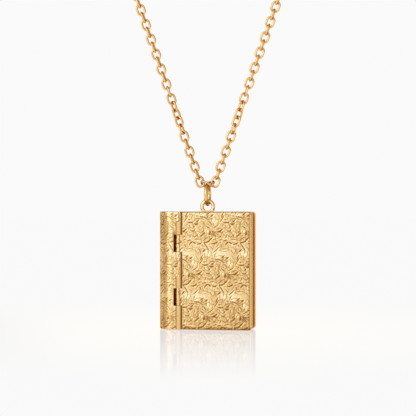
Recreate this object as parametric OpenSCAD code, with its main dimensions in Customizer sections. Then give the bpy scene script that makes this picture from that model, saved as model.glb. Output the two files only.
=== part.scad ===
// Book locket on a jump ring and a cable chain necklace.
// The front faces -Y, the spine is on the left (-X), and the chain hangs from the neck rest at the origin.

/* [Locket] */
// Height of the locket
locket_h = 22; // [18:0.5:30]
// Width from the spine's outside to the fore-edge
locket_w = 17.7; // [14:0.1:24]
// Thickness of the closed locket
locket_t = 5.5; // [5:0.1:7]
// Thickness of the sheet metal
sheet = 0.45; // [0.3:0.05:0.5]
// Depth of the front cover's rim
cover_depth = 1.45; // [1.2:0.05:1.8]
// Depth of the back board's rim
back_depth = 1.5; // [1.2:0.05:1.8]
// Rounding of the boards' corners
corner_r = 0.6; // [0.2:0.1:1]
// Gap between the cover's rim and the page block
page_gap = 0.08; // [0.05:0.01:0.15]
// How far the eye sits from the middle of the width, toward the fore-edge
eye_shift = 0.1; // [0:0.05:0.5]

/* [Hinge] */
// Distance from the spine's outside to the hinge pin
pin_inset = 3.82; // [3.6:0.02:4.2]
// Outside diameter of the knuckles
knuckle_d = 0.95; // [0.9:0.01:1]
// Diameter of the hinge pin
pin_d = 0.44; // [0.4:0.01:0.46]
// Radial clearance of the pin in its knuckles
pin_clear = 0.03; // [0.02:0.01:0.05]
// Distance from the pin to the cover's edge
seam_x = 0.76; // [0.74:0.01:0.8]
// Distance from the pin to the left side of the slots in the spine
slot_x = 0.86; // [0.8:0.01:1]
// Length of each of the cover's knuckles
tab_h = 3.2; // [2:0.1:4]
// Height of the upper tab's middle above the locket's middle
upper_tab_z = 5.1; // [4:0.1:6]
// Height of the lower tab's middle below the locket's middle
lower_tab_z = 4.9; // [4:0.1:6]
// Gap at each end of a knuckle
knuckle_gap = 0.08; // [0.05:0.01:0.12]

/* [Eye and jump ring] */
// Outside diameter of the eye
eye_od = 2.85; // [2.6:0.05:3.2]
// Wire of the eye
eye_wire = 0.7; // [0.6:0.02:0.8]
// Height of the eye's middle above the locket's top edge
eye_rise = 0.93; // [0.8:0.01:1.1]
// Outside diameter of the jump ring
ring_od = 4.38; // [4.3:0.02:4.6]
// Wire of the jump ring
ring_wire = 0.54; // [0.48:0.02:0.54]
// Gap between the ring's wire and the eye above it
ring_clear = 0.08; // [0.05:0.01:0.1]

/* [Chain] */
// Outside length of a link
link_l = 2.33; // [2.33:0.01:2.4]
// Outside width of a link
link_w = 1.76; // [1.76:0.01:1.9]
// Wire of a link
link_wire = 0.35; // [0.28:0.01:0.35]
// Distance from link to link
pitch = 1.5; // [1.47:0.01:1.5]
// Links in each strand of the front stretch, the end link not counted
front_links = 26; // [14:1:40]
// Lean of the strands from upright
strand_lean = 19.25; // [19.25:0.05:19.3]
// Diameter of the chain's hidden stretch
back_d = 1.7; // [1.2:0.1:1.8]

/* [Clasp] */
// Outside diameter of the clasp's ring
clasp_od = 6; // [5:0.5:6]
// Wire of the clasp's ring
clasp_wire = 1.1; // [0.8:0.1:1.2]
// Outside diameter of the clasp's two end loops
clasp_loop_od = 2.2; // [2:0.1:2.4]
// Wire of the end loops
clasp_loop_wire = 0.6; // [0.5:0.05:0.7]

/* [Relief] */
// How far the leaves and flowers stand proud
relief_h = 0.05; // [0.03:0.01:0.08]
// Width of one repeat of the leaf and flower pattern
repeat_w = 6.8; // [6:0.1:8]
// Height of one row of repeats
repeat_h = 7.9; // [7:0.1:9]
// How far each row is shifted to the right of the row above it
row_shift = 3.94; // [3:0.01:5]

/* [Hidden] */
gold = [0.90, 0.71, 0.40];
pale_gold = [0.93, 0.77, 0.48];
eps = 0.01;

// Levels along the chain, from the neck rest down to the locket's top edge
// Height of the chain's middle line at the clasp, above the neck rest
top_z = clasp_od / 2;
// Middle of the first face-on link, from the jump ring's middle
first_link = [1.42, 0.40, 2.39];
// Middle of the first face-on link, below the neck rest
first_link_z = -183.5;
ring_z = first_link_z - first_link[2];
ring_r = (ring_od - ring_wire) / 2;
eye_r = (eye_od - eye_wire) / 2;
eye_z = ring_z - ring_r + ring_wire / 2 + ring_clear - eye_r + eye_wire / 2;
locket_top = eye_z - eye_rise;
locket_z = locket_top - locket_h / 2;

// Levels across the locket
spine_x = -locket_w / 2 - eye_shift;
fore_x = locket_w / 2 - eye_shift;
front_y = -locket_t / 2;
back_y = locket_t / 2;
spine_r = locket_t / 2;
pin_x = spine_x + pin_inset;
pin_y = front_y + knuckle_d / 2;
bore_r = pin_d / 2 + pin_clear;
cover_x = pin_x + seam_x;
page_inset = sheet + page_gap;
page_front_y = front_y + sheet + 0.15;
page_x = pin_x + 1.66;
gutter_y = pin_y + 1.35;
tabs = [upper_tab_z, -lower_tab_z];

// Turn of a strand's link about its own length: each link is a quarter turn from the last,
// and the strand takes one more quarter turn between these two links
twist_from = 7;
twist_to = 14;
function link_turn(k) =
    90 * (k - 1) + 90 * min(1, max(0, (k - twist_from) / (twist_to - twist_from)));

// The end link that passes through the jump ring, from the ring's middle: place, then yaw, rise and turn
end_link = [0.28, 0.616, 1.888];
end_yaw = -23.7;
end_rise = 17.2;
end_turn = 51.2;

// The hidden stretch's route on the right, x and z from the neck rest, clasp first
back_route = [
    [5.1, 2.7], [14.6, 0.7], [23.6, -3.3], [31.6, -9.1], [38.2, -16.5], [43.1, -25], [46.2, -34.4],
    [47.2, -44.2], [46.2, -54], [43.5, -63], [40, -73.1], [36, -84.5], [32, -96], [28, -107.4],
    [24, -118.9], [20, -130.3], [16, -141.8]
];

// A board with rounded corners on its fore-edge side, x0 to x1 and y0 to y1
module board(x0, x1, y0, y1, inset = 0) {
    h = locket_h / 2 - inset;
    r = max(corner_r - inset, 0.1);
    translate([0, y0, locket_z]) rotate([-90, 0, 0]) linear_extrude(y1 - y0) {
        translate([x0, -h]) square([x1 - inset - r - x0, 2 * h]);
        translate([x0, -h + r]) square([x1 - inset - x0, 2 * (h - r)]);
        for (s = [-1, 1]) translate([x1 - inset - r, s * (h - r)]) circle(r, $fn = 32);
    }
}

// A column beside the hinge pin, for knuckles and bores
module at_pin(z, h, r) {
    translate([pin_x, pin_y, locket_z + z - h / 2]) cylinder(h = h, r = r, $fn = 32);
}

// One leaf, tip to tip along x, where two round edges meet
module leaf(length, width) {
    r = (length * length / 4 + width * width / 4) / width;
    intersection() {
        translate([0, r - width / 2]) circle(r, $fn = 48);
        translate([0, -r + width / 2]) circle(r, $fn = 48);
    }
}

// One flower: five pointed petals round a middle
module flower(size) {
    for (i = [0:4]) rotate(90 + 72 * i) translate([size * 0.3, 0]) leaf(size * 0.5, size * 0.24);
    circle(size * 0.12, $fn = 16);
}

// One repeat's leaves, from its flower: x, y, angle, length, width
leaves = [
    [1.0, -1.6, 0, 1.7, 1.0],
    [3.0, -2.9, -20, 1.8, 1.0],
    [0.6, -4.6, 80, 1.6, 1.0],
    [4.4, -5.6, 75, 1.9, 1.0],
    [4.5, -1.8, 38, 1.5, 0.6],
    [5.7, -4.9, 82, 2.2, 0.6],
    [2.2, -6.9, 20, 1.3, 0.6],
    [-0.7, -6.4, 50, 1.0, 0.5],
    [1.7, 0.5, 25, 1.4, 0.6],
    [2.7, -0.9, -55, 1.4, 0.6],
    [4.2, 0.1, 20, 1.4, 0.6],
    [1.7, -3.9, 60, 1.6, 0.5],
    [2.6, -4.9, 5, 1.2, 0.6],
    [3.4, -6.9, -50, 1.3, 0.6],
    [4.7, -3.6, 10, 1.5, 0.5]
];

// The pattern between two edges, row by row
module pattern(x0, x1) {
    first_flower = [-2.44, 5.82];
    for (row = [-1:2], column = [-3:2]) {
        place = first_flower + [column * repeat_w + row * row_shift, -row * repeat_h];
        if (place[0] > x0 - 1 && place[0] < x1 + 1)
            translate(place) flower(1.9);
        for (l = leaves)
            if (place[0] + l[0] > x0 - 1 && place[0] + l[0] < x1 + 1 && abs(place[1] + l[1]) < locket_h / 2)
                translate(place + [l[0], l[1]]) rotate(l[2]) leaf(l[3], l[4]);
    }
}

// The eye on the locket's top edge, with its soldered foot
module eye() {
    foot_w = 2.3;
    difference() {
        union() {
            translate([0, 0, eye_z]) rotate([90, 0, 0])
                rotate_extrude($fn = 64) translate([eye_r, 0]) circle(eye_wire / 2, $fn = 24);
            translate([-foot_w / 2, -eye_wire / 2, locket_top - page_inset - 0.1])
                cube([foot_w, eye_wire, page_inset + 0.4]);
        }
        translate([0, eye_wire, eye_z]) rotate([90, 0, 0])
            cylinder(h = 2 * eye_wire, r = eye_r - eye_wire / 2, $fn = 64);
    }
}

// The left half of a circle about the spine's middle
module half_round(r) {
    intersection() {
        translate([spine_x + spine_r, 0]) circle(r, $fn = 96);
        translate([spine_x - 1, -spine_r - 1]) square([spine_r + 1 + eps, 2 * spine_r + 2]);
    }
}

// Outline of the spine seen from above, as far right as the hinge needs
module spine_outline() {
    half_round(spine_r);
    translate([spine_x + spine_r, front_y]) square([pin_x - spine_x - spine_r, locket_t]);
    translate([pin_x - eps, gutter_y]) square([page_x - pin_x + 2 * eps, back_y - gutter_y]);
}

// The half-round spine, hollow, with closed ends
module spine() {
    difference() {
        translate([0, 0, locket_z - locket_h / 2]) linear_extrude(locket_h) spine_outline();
        translate([0, 0, locket_z - locket_h / 2 + sheet]) linear_extrude(locket_h - 2 * sheet) {
            half_round(spine_r - sheet);
            translate([spine_x + spine_r, front_y + sheet])
                square([pin_x - spine_x - spine_r + 1, gutter_y - front_y - sheet]);
            translate([spine_x + spine_r, gutter_y + sheet])
                square([page_x - spine_x - spine_r, back_y - gutter_y - 2 * sheet]);
            translate([spine_x + spine_r, gutter_y - eps])
                square([pin_x - spine_x - spine_r - sheet, sheet + 2 * eps]);
        }
    }
}

module back_case() {
    color(gold) difference() {
        union() {
            spine();
            // back board with its rim
            difference() {
                board(page_x, fore_x, back_y - back_depth, back_y);
                board(page_x - 1, fore_x, back_y - back_depth - 1, back_y - sheet, page_inset + eps);
            }
            // page block, its walls only
            difference() {
                board(page_x, fore_x, page_front_y, back_y - sheet / 2, page_inset);
                board(page_x + sheet, fore_x, page_front_y - 1, back_y, page_inset + sheet);
            }
            // the spine's knuckles
            at_pin(0, locket_h, knuckle_d / 2);
            eye();
            spine_relief();
        }
        // the pin's bore
        at_pin(0, locket_h + 2, bore_r);
        // slots for the cover's knuckles
        for (z = tabs)
            translate([pin_x - slot_x, front_y - 1, locket_z + z - tab_h / 2 - knuckle_gap])
                cube([slot_x + 0.7, knuckle_d + 1.1, tab_h + 2 * knuckle_gap]);
    }
}

// The pattern raised on the spine
module spine_relief() {
    intersection() {
        translate([0, front_y + spine_r + 1, locket_z]) rotate([90, 0, 0])
            linear_extrude(spine_r + 2) intersection() {
                pattern(spine_x, pin_x);
                translate([spine_x + 0.25, -locket_h / 2 + 0.5])
                    square([pin_x - slot_x - spine_x - 0.5, locket_h - 1]);
            }
        translate([0, 0, locket_z - locket_h / 2]) linear_extrude(locket_h) {
            difference() {
                union() {
                    translate([spine_x + spine_r, 0]) circle(spine_r + relief_h, $fn = 96);
                    translate([spine_x + spine_r, front_y - relief_h]) square([2, relief_h + 0.1]);
                }
                translate([spine_x + spine_r, 0]) circle(spine_r - 0.1, $fn = 96);
            }
        }
    }
}

module hinge_pin() {
    color(pale_gold) at_pin(0, locket_h - 0.1, pin_d / 2);
}

module front_cover() {
    color(gold) difference() {
        union() {
            difference() {
                board(cover_x, fore_x, front_y, front_y + cover_depth);
                board(cover_x + sheet, fore_x, front_y + sheet, front_y + cover_depth + 1, sheet);
            }
            for (z = tabs) {
                at_pin(z, tab_h, knuckle_d / 2);
                translate([pin_x, front_y, locket_z + z - tab_h / 2]) cube([seam_x + eps, sheet, tab_h]);
            }
            // raised leaves and flowers
            translate([0, front_y + 0.1, locket_z]) rotate([90, 0, 0])
                linear_extrude(0.1 + relief_h) intersection() {
                    pattern(cover_x, fore_x);
                    translate([cover_x + 0.45, -locket_h / 2 + 0.5])
                        square([fore_x - cover_x - 0.95, locket_h - 1]);
                }
        }
        at_pin(0, locket_h + 2, bore_r);
    }
}

module jump_ring() {
    color(pale_gold) translate([0, 0, ring_z]) rotate([0, 90, 0])
        rotate_extrude($fn = 64) translate([ring_r, 0]) circle(ring_wire / 2, $fn = 24);
}

// One oval link, its length along x and its width along z
module chain_link() {
    bend_r = (link_w - link_wire) / 2;
    half = (link_l - link_w) / 2;
    rotate([90, 0, 0]) {
        for (s = [0, 180]) rotate(s) translate([half, 0, 0])
            rotate_extrude(angle = 180, start = -90, $fn = 48)
                translate([bend_r, 0]) circle(link_wire / 2, $fn = 24);
        for (s = [-1, 1]) translate([-half, s * bend_r, 0]) rotate([0, 90, 0])
            cylinder(h = 2 * half, d = link_wire, $fn = 24);
    }
}

// Middle of a strand's link, from the jump ring's middle; the strand nears the middle plane as it rises
function strand_point(k) = let (d = (k - 1) * pitch) [
    first_link[0] + d * sin(strand_lean),
    first_link[1] * (1 - d / 144),
    first_link[2] + d * cos(strand_lean)
];

module chain_front() {
    color(pale_gold) translate([0, 0, ring_z]) for (side = [0, 180]) rotate(side) {
        translate(end_link) rotate([0, -end_rise, 0]) rotate([0, 0, end_yaw])
            rotate([-end_turn, 0, 0]) chain_link();
        for (k = [1:front_links])
            translate(strand_point(k)) rotate([0, strand_lean - 90, 0])
                rotate([-link_turn(k), 0, 0]) chain_link();
    }
}

// Points of a smooth curve through the route, four to each stretch
function curve_point(p0, p1, p2, p3, t) =
    0.5 * (2 * p1 + (p2 - p0) * t + (2 * p0 - 5 * p1 + 4 * p2 - p3) * t * t
        + (3 * p1 - p0 - 3 * p2 + p3) * t * t * t);

// A tube of n-sided rings along points in the xz plane
module tube(points, d, sides = 8) {
    n = len(points);
    dirs = [for (i = [0:n - 1]) let (v = points[min(i + 1, n - 1)] - points[max(i - 1, 0)]) v / norm(v)];
    verts = [for (i = [0:n - 1], j = [0:sides - 1]) let (a = 360 * j / sides, u = dirs[i])
        [points[i][0] - u[1] * cos(a) * d / 2, sin(a) * d / 2, points[i][1] + u[0] * cos(a) * d / 2]];
    quads = [for (i = [0:n - 2], j = [0:sides - 1]) let (k = (j + 1) % sides)
        [i * sides + j, i * sides + k, (i + 1) * sides + k, (i + 1) * sides + j]];
    polyhedron(verts, [
        [for (j = [sides - 1:-1:0]) j],
        each quads,
        [for (j = [0:sides - 1]) (n - 1) * sides + j]
    ]);
}

// The hidden stretch on the right, from the clasp round to the front links
tube_gap = 0.15;
tube_start_z = ring_z + strand_point(front_links)[2] + (link_l / 2 + tube_gap) * cos(strand_lean);
tube_start_x = strand_point(front_links)[0] + (link_l / 2 + tube_gap) * sin(strand_lean);
route = [each back_route, [tube_start_x, tube_start_z]];
ring_step = 4.6;
function route_at(i) = route[min(max(i, 0), len(route) - 1)];
function stretch_steps(i) = max(1, round(norm(route[i + 1] - route[i]) / ring_step));
tube_points = [
    for (i = [0:len(route) - 2], j = [0:stretch_steps(i) - 1])
        curve_point(route_at(i - 1), route_at(i), route_at(i + 1), route_at(i + 2), j / stretch_steps(i)),
    route[len(route) - 1]
];

module chain_back() {
    color(pale_gold) for (side = [0, 1]) mirror([side, 0, 0]) tube(tube_points, back_d);
}

module clasp() {
    loop_x = clasp_od / 2 + clasp_loop_od / 2 - 0.3;
    color(gold) translate([0, 0, top_z]) rotate([90, 0, 0]) {
        rotate_extrude($fn = 64) translate([(clasp_od - clasp_wire) / 2, 0])
            circle(clasp_wire / 2, $fn = 24);
        for (s = [-1, 1]) translate([s * loop_x, 0, 0])
            rotate_extrude($fn = 48) translate([(clasp_loop_od - clasp_loop_wire) / 2, 0])
                circle(clasp_loop_wire / 2, $fn = 24);
    }
}

back_case();
hinge_pin();
front_cover();
jump_ring();
chain_front();
chain_back();
clasp();
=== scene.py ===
"""Book locket on a cable chain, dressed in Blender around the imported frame."""
import math

import bpy
import numpy as np
from mathutils import Matrix, Vector


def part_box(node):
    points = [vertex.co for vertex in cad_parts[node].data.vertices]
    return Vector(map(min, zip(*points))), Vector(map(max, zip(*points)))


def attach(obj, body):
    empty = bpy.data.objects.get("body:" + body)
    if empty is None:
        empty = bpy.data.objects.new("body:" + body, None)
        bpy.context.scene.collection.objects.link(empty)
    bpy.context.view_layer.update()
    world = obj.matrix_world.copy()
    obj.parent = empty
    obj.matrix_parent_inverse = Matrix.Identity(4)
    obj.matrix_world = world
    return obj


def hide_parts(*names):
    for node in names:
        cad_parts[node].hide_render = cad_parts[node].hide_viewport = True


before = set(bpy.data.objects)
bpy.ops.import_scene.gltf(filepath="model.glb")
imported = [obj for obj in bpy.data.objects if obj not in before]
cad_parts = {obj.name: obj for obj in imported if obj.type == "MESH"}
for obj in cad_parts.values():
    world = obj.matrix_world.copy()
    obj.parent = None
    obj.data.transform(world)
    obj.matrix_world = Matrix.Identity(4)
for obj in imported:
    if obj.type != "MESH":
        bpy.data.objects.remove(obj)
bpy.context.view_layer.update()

MM = 0.001

# Sizes that part.scad also holds, in millimetres
# The locket: its sheet metal, the depth of the cover's rim, the rounding of its corners and of its spine
SHEET = 0.45
COVER_DEPTH = 1.45
CORNER_R = 0.6
SPINE_R = 2.75
# The hinge: the pin from the spine's outside, then the cover's edge and the spine's slots from the pin
PIN_INSET = 3.82
SEAM_X = 0.76
SLOT_X = 0.86
# The cover's two knuckles: their radius, length, middles above the locket's middle, and gap at each end
KNUCKLE_R = 0.475
TAB_H = 3.2
TAB_Z = (5.1, -4.9)
KNUCKLE_GAP = 0.08
# The strands: from link to link, their front links without the end link, and their lean from upright
PITCH = 1.5
FRONT_LINKS = 26
STRAND_LEAN = math.radians(19.25)
# A strand takes an extra quarter turn between these links, and comes back to y = 0 over this length
TWIST_FROM, TWIST_TO = 7, 14
STRAND_FADE = 144
# From the jump ring's middle: the first face-on link, the end link, and the end link's turns
FIRST_LINK = np.array([1.42, 0.40, 2.39])
END_LINK = np.array([0.28, 0.616, 1.888])
END_YAW, END_RISE, END_TURN = (math.radians(angle) for angle in (-23.7, 17.2, 51.2))
# The loops at the clasp's ends
CLASP_LOOP_R = 1.1
CLASP_LOOP_WIRE = 0.6
# The chain's hidden stretch on the right, clasp first: x and z from the neck rest
BACK_ROUTE = (
    (5.1, 2.7), (14.6, 0.7), (23.6, -3.3), (31.6, -9.1), (38.2, -16.5), (43.1, -25), (46.2, -34.4),
    (47.2, -44.2), (46.2, -54), (43.5, -63), (40, -73.1), (36, -84.5), (32, -96), (28, -107.4),
    (24, -118.9), (20, -130.3), (16, -141.8),
)

# Points to each stretch of the smooth curve through that route
ROUTE_STEPS = 40

# Sizes of the dressed shapes alone, in millimetres
# A link: its outside length and width, and its wire, which is thinner where two cross in the jump ring
LINK_L, LINK_W = 2.34, 1.78
LINK_WIRE, END_WIRE = 0.41, 0.37
# How much wider the jump ring's wire is along the ring's axis
RING_FLAT = 0.14
# Plain border of the cover along its fore-edge, and the band along its bottom that is painted darker, a
# painted shade
BORDER = 0.43
LOW_BAND = 0.75
# Width over which the engraving fades out at the cover's edges
FADE = 0.12
# Rounding of the cover's and knuckles' edges, the cover's edge at the seam, and the spine's ends
EDGE_ROLL = 0.14
SEAM_ROLL = 0.05
SPINE_ROLL = 0.12
ROLL_ANGLES = [math.radians(angle) for angle in (30, 60, 90)]
# Distance between the points of the cover's face, and of the knuckles and the spine's skin
FACE_STEP = 0.06
SKIN_STEP = 0.066

# Places read from the frame, in millimetres
ring_low, ring_high = (np.array(c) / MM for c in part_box("jump_ring"))
cover_low, cover_high = (np.array(c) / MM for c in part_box("front_cover"))
clasp_low, clasp_high = (np.array(c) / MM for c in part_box("clasp"))
RING_Z = (ring_low[2] + ring_high[2]) / 2
RING_WIRE = ring_high[0] - ring_low[0]
RING_R = (ring_high[2] - ring_low[2] - RING_WIRE) / 2
PIN_X = cover_low[0] + KNUCKLE_R
COVER_X = PIN_X + SEAM_X
FORE_X = cover_high[0]
BOTTOM_Z, TOP_Z = cover_low[2], cover_high[2]
MID_Z = (BOTTOM_Z + TOP_Z) / 2
FRONT_Y = cover_high[1] - COVER_DEPTH
PIN_Y = FRONT_Y + KNUCKLE_R
SPINE_X = PIN_X - PIN_INSET + SPINE_R

# Left edge of the hinge's plain strip on the spine's skin, and of the plate above it
STRIP_X = PIN_X - 0.35
# Right of the pin: the line down the plate, and the end of the line under it
PLATE_LINE = 0.14
PLATE_END = 0.2
# Depths below the locket's top: the plate's lower end, and where leaves run over the strip
PLATE_DEPTH = 1.83
LEAFY_FROM, LEAFY_TO = 7.6, 12.2
# A thin line in the metal at the hinge: half its width, its depth and its dark tone, a painted shade
LINE_HALF = 0.1
LINE_DEPTH = 0.02
LINE_TONE = 1.1
# Place of such a line on the cover's knuckles, right of the pin
TAB_LINE = 0.33
# The seam's groove in the skin: points of its floor and wall, right of the pin and behind the front
GROOVE_FLOOR = ((0.735, 0.30), (0.66, 0.315), (0.60, 0.305))
GROOVE_WALL = ((0.575, 0.27), (0.57, 0.22))
# Where the skin starts to round into the groove, with what radius, and where the groove's painted shade
# starts
GROOVE_X = 0.365
GROOVE_R = 0.2
GROOVE_TONE_X = 0.38
# How far the skin stands off the solid spine: on its round, then by the place right of the pin
SKIN_OFF = 0.115
SKIN_LIFT = ((-1.15, SKIN_OFF), (-0.8, 0.06), (0.3, 0.06), (0.42, 0))
# The skin goes into the solid at the back: where that starts, over what distance, and how deep it ends
BACK_Y, BACK_FADE, BACK_DEPTH = 2.3, 0.45, 0.02
# Points across the spine's flat and round, and a knuckle's flat and round
SPINE_FLAT, SPINE_ROUND = 34, 128
TAB_FLAT, TAB_ROUND = 20, 36
# Bands of painted highlight and painted shade along the spine: distance left of its axis over the skin,
# tone added
SPINE_PAINTED_LIGHT = ((-0.9, 0), (-0.6, 0.1), (0.7, 0.1), (1.0, -0.45), (1.8, -0.45), (2.3, 0))
# How much of the spine's engraving the wear has left: the same distance, share
SPINE_CALM = ((-0.6, 1), (0, 0.75), (0.8, 0.75), (1.1, 0.45), (1.9, 0.45), (2.4, 0.8))


def new_object(name, verts, faces, smooth=True):
    """A mesh object from points in millimetres."""
    mesh = bpy.data.meshes.new(name)
    mesh.from_pydata([tuple(v) for v in np.asarray(verts, float) * MM], [], faces)
    mesh.update()
    obj = bpy.data.objects.new(name, mesh)
    bpy.context.scene.collection.objects.link(obj)
    if smooth:
        mesh.polygons.foreach_set("use_smooth", [True] * len(mesh.polygons))
    return obj


def grid_faces(rows, cols, close_rows=False, close_cols=False):
    """Quads of a rows by cols net of points."""
    faces = []
    for i in range(rows if close_rows else rows - 1):
        for j in range(cols if close_cols else cols - 1):
            a = i * cols + j
            b = i * cols + (j + 1) % cols
            c = (i + 1) % rows * cols + (j + 1) % cols
            d = (i + 1) % rows * cols + j
            faces.append((a, b, c, d))
    return faces


def gathered(parts):
    """The points and faces of several parts as one."""
    verts, faces, start = [], [], 0
    for points, own_faces in parts:
        verts.append(points)
        faces += [tuple(int(i) + start for i in face) for face in own_faces]
        start += len(points)
    return np.concatenate(verts), faces


def graph(rows, at):
    """The value at a place, read between the rows of a table of places and values."""
    places, values = zip(*rows)
    return np.interp(at, places, values)


# The engraving repeats. One repeat is charted in pixels of the 416 by 416 photograph. These
# values set it on the case: a pixel's size in millimetres, and the pixels of x = 0 and the locket's top.
PIXEL_X, PIXEL_Z = 0.18766, 0.18587
AXIS_PX, TOP_PX = 205.417, 211.65
# Two shifts that carry the pattern onto itself, and the middle of the charted repeat
REPEATS = ((36.25, 0.0), (-21.0, 42.5))
CHART_MIDDLE = (208.0, 258.0)
# The row of a repeat that is left plain and burnished, and half its height
PLAIN_ROW, PLAIN_HALF = 254.0, 4.5
# A stroke's half width as a share of its width: at its ends, and how much more in its middle
STROKE_END, STROKE_SWELL = 0.29, 0.24
# The crest beside a stroke, raised a little and painted bright as a painted highlight: its distance from
# the stroke's edge, and half its width
CREST_AWAY, CREST_HALF = 0.55, 0.6
# How far off a stroke still counts, and a leaf, as a share of its length
CREST_REACH = 3.5
LEAF_REACH = 0.65
# A leaf's body and the cut round it, by a measure that is 1 on the leaf's edge: where the body ends and
# over what width, and where the cut is deepest and half its width
BODY_EDGE, BODY_FADE = 1.1, 0.35
AROUND_EDGE, AROUND_HALF = 1.25, 0.32
# Distance between a leaf's side veins, their slant, and half the width of its middle vein
VEIN_STEP = 1.7
VEIN_SLANT = 0.7
VEIN_HALF = 0.35
# Depth of the cut round a leaf, its middle vein and its side veins, where the deepest stroke has 1
AROUND_CUT, MID_CUT, SIDE_CUT = 0.75, 0.45, 0.2
# Small leaves between the charted ones: how many in a repeat, their length and width, and their boldness
FILLERS = 60
FILLER_SIZE = (4.4, 2.0)
FILLER_RANK = 0.6
# Steps that spread points evenly in a plane, and the turn from one small leaf to the next
SPREAD_U, SPREAD_V = 0.7548777, 0.5698403
FILLER_TURN = 137.5

# Heights of the relief, in millimetres
CUT_DEPTH = 0.04
LEAF_HEIGHT = 0.022
CREST_HEIGHT = 0.006
PATCH_HEIGHT = 0.008
WAVE_HEIGHT = 0.006
# Tones: a cut's patina and painted shade, a crest's or leaf's painted highlight, the ground's painted
# shade, the plain row's painted sheen, and a patch's painted light and shade
CUT_TONE = 1.4
HIGHLIGHT_TONE = 0.75
GROUND_SHADE_TONE = 0.25
ROW_SHEEN_TONE = 0.12
PATCH_LIGHT_TONE = 0.68
# Painted shade: how much the tone falls for each millimetre to the right and downward
RIGHT_PAINTED_SHADE, DOWN_PAINTED_SHADE = 0.022, 0.018

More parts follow.
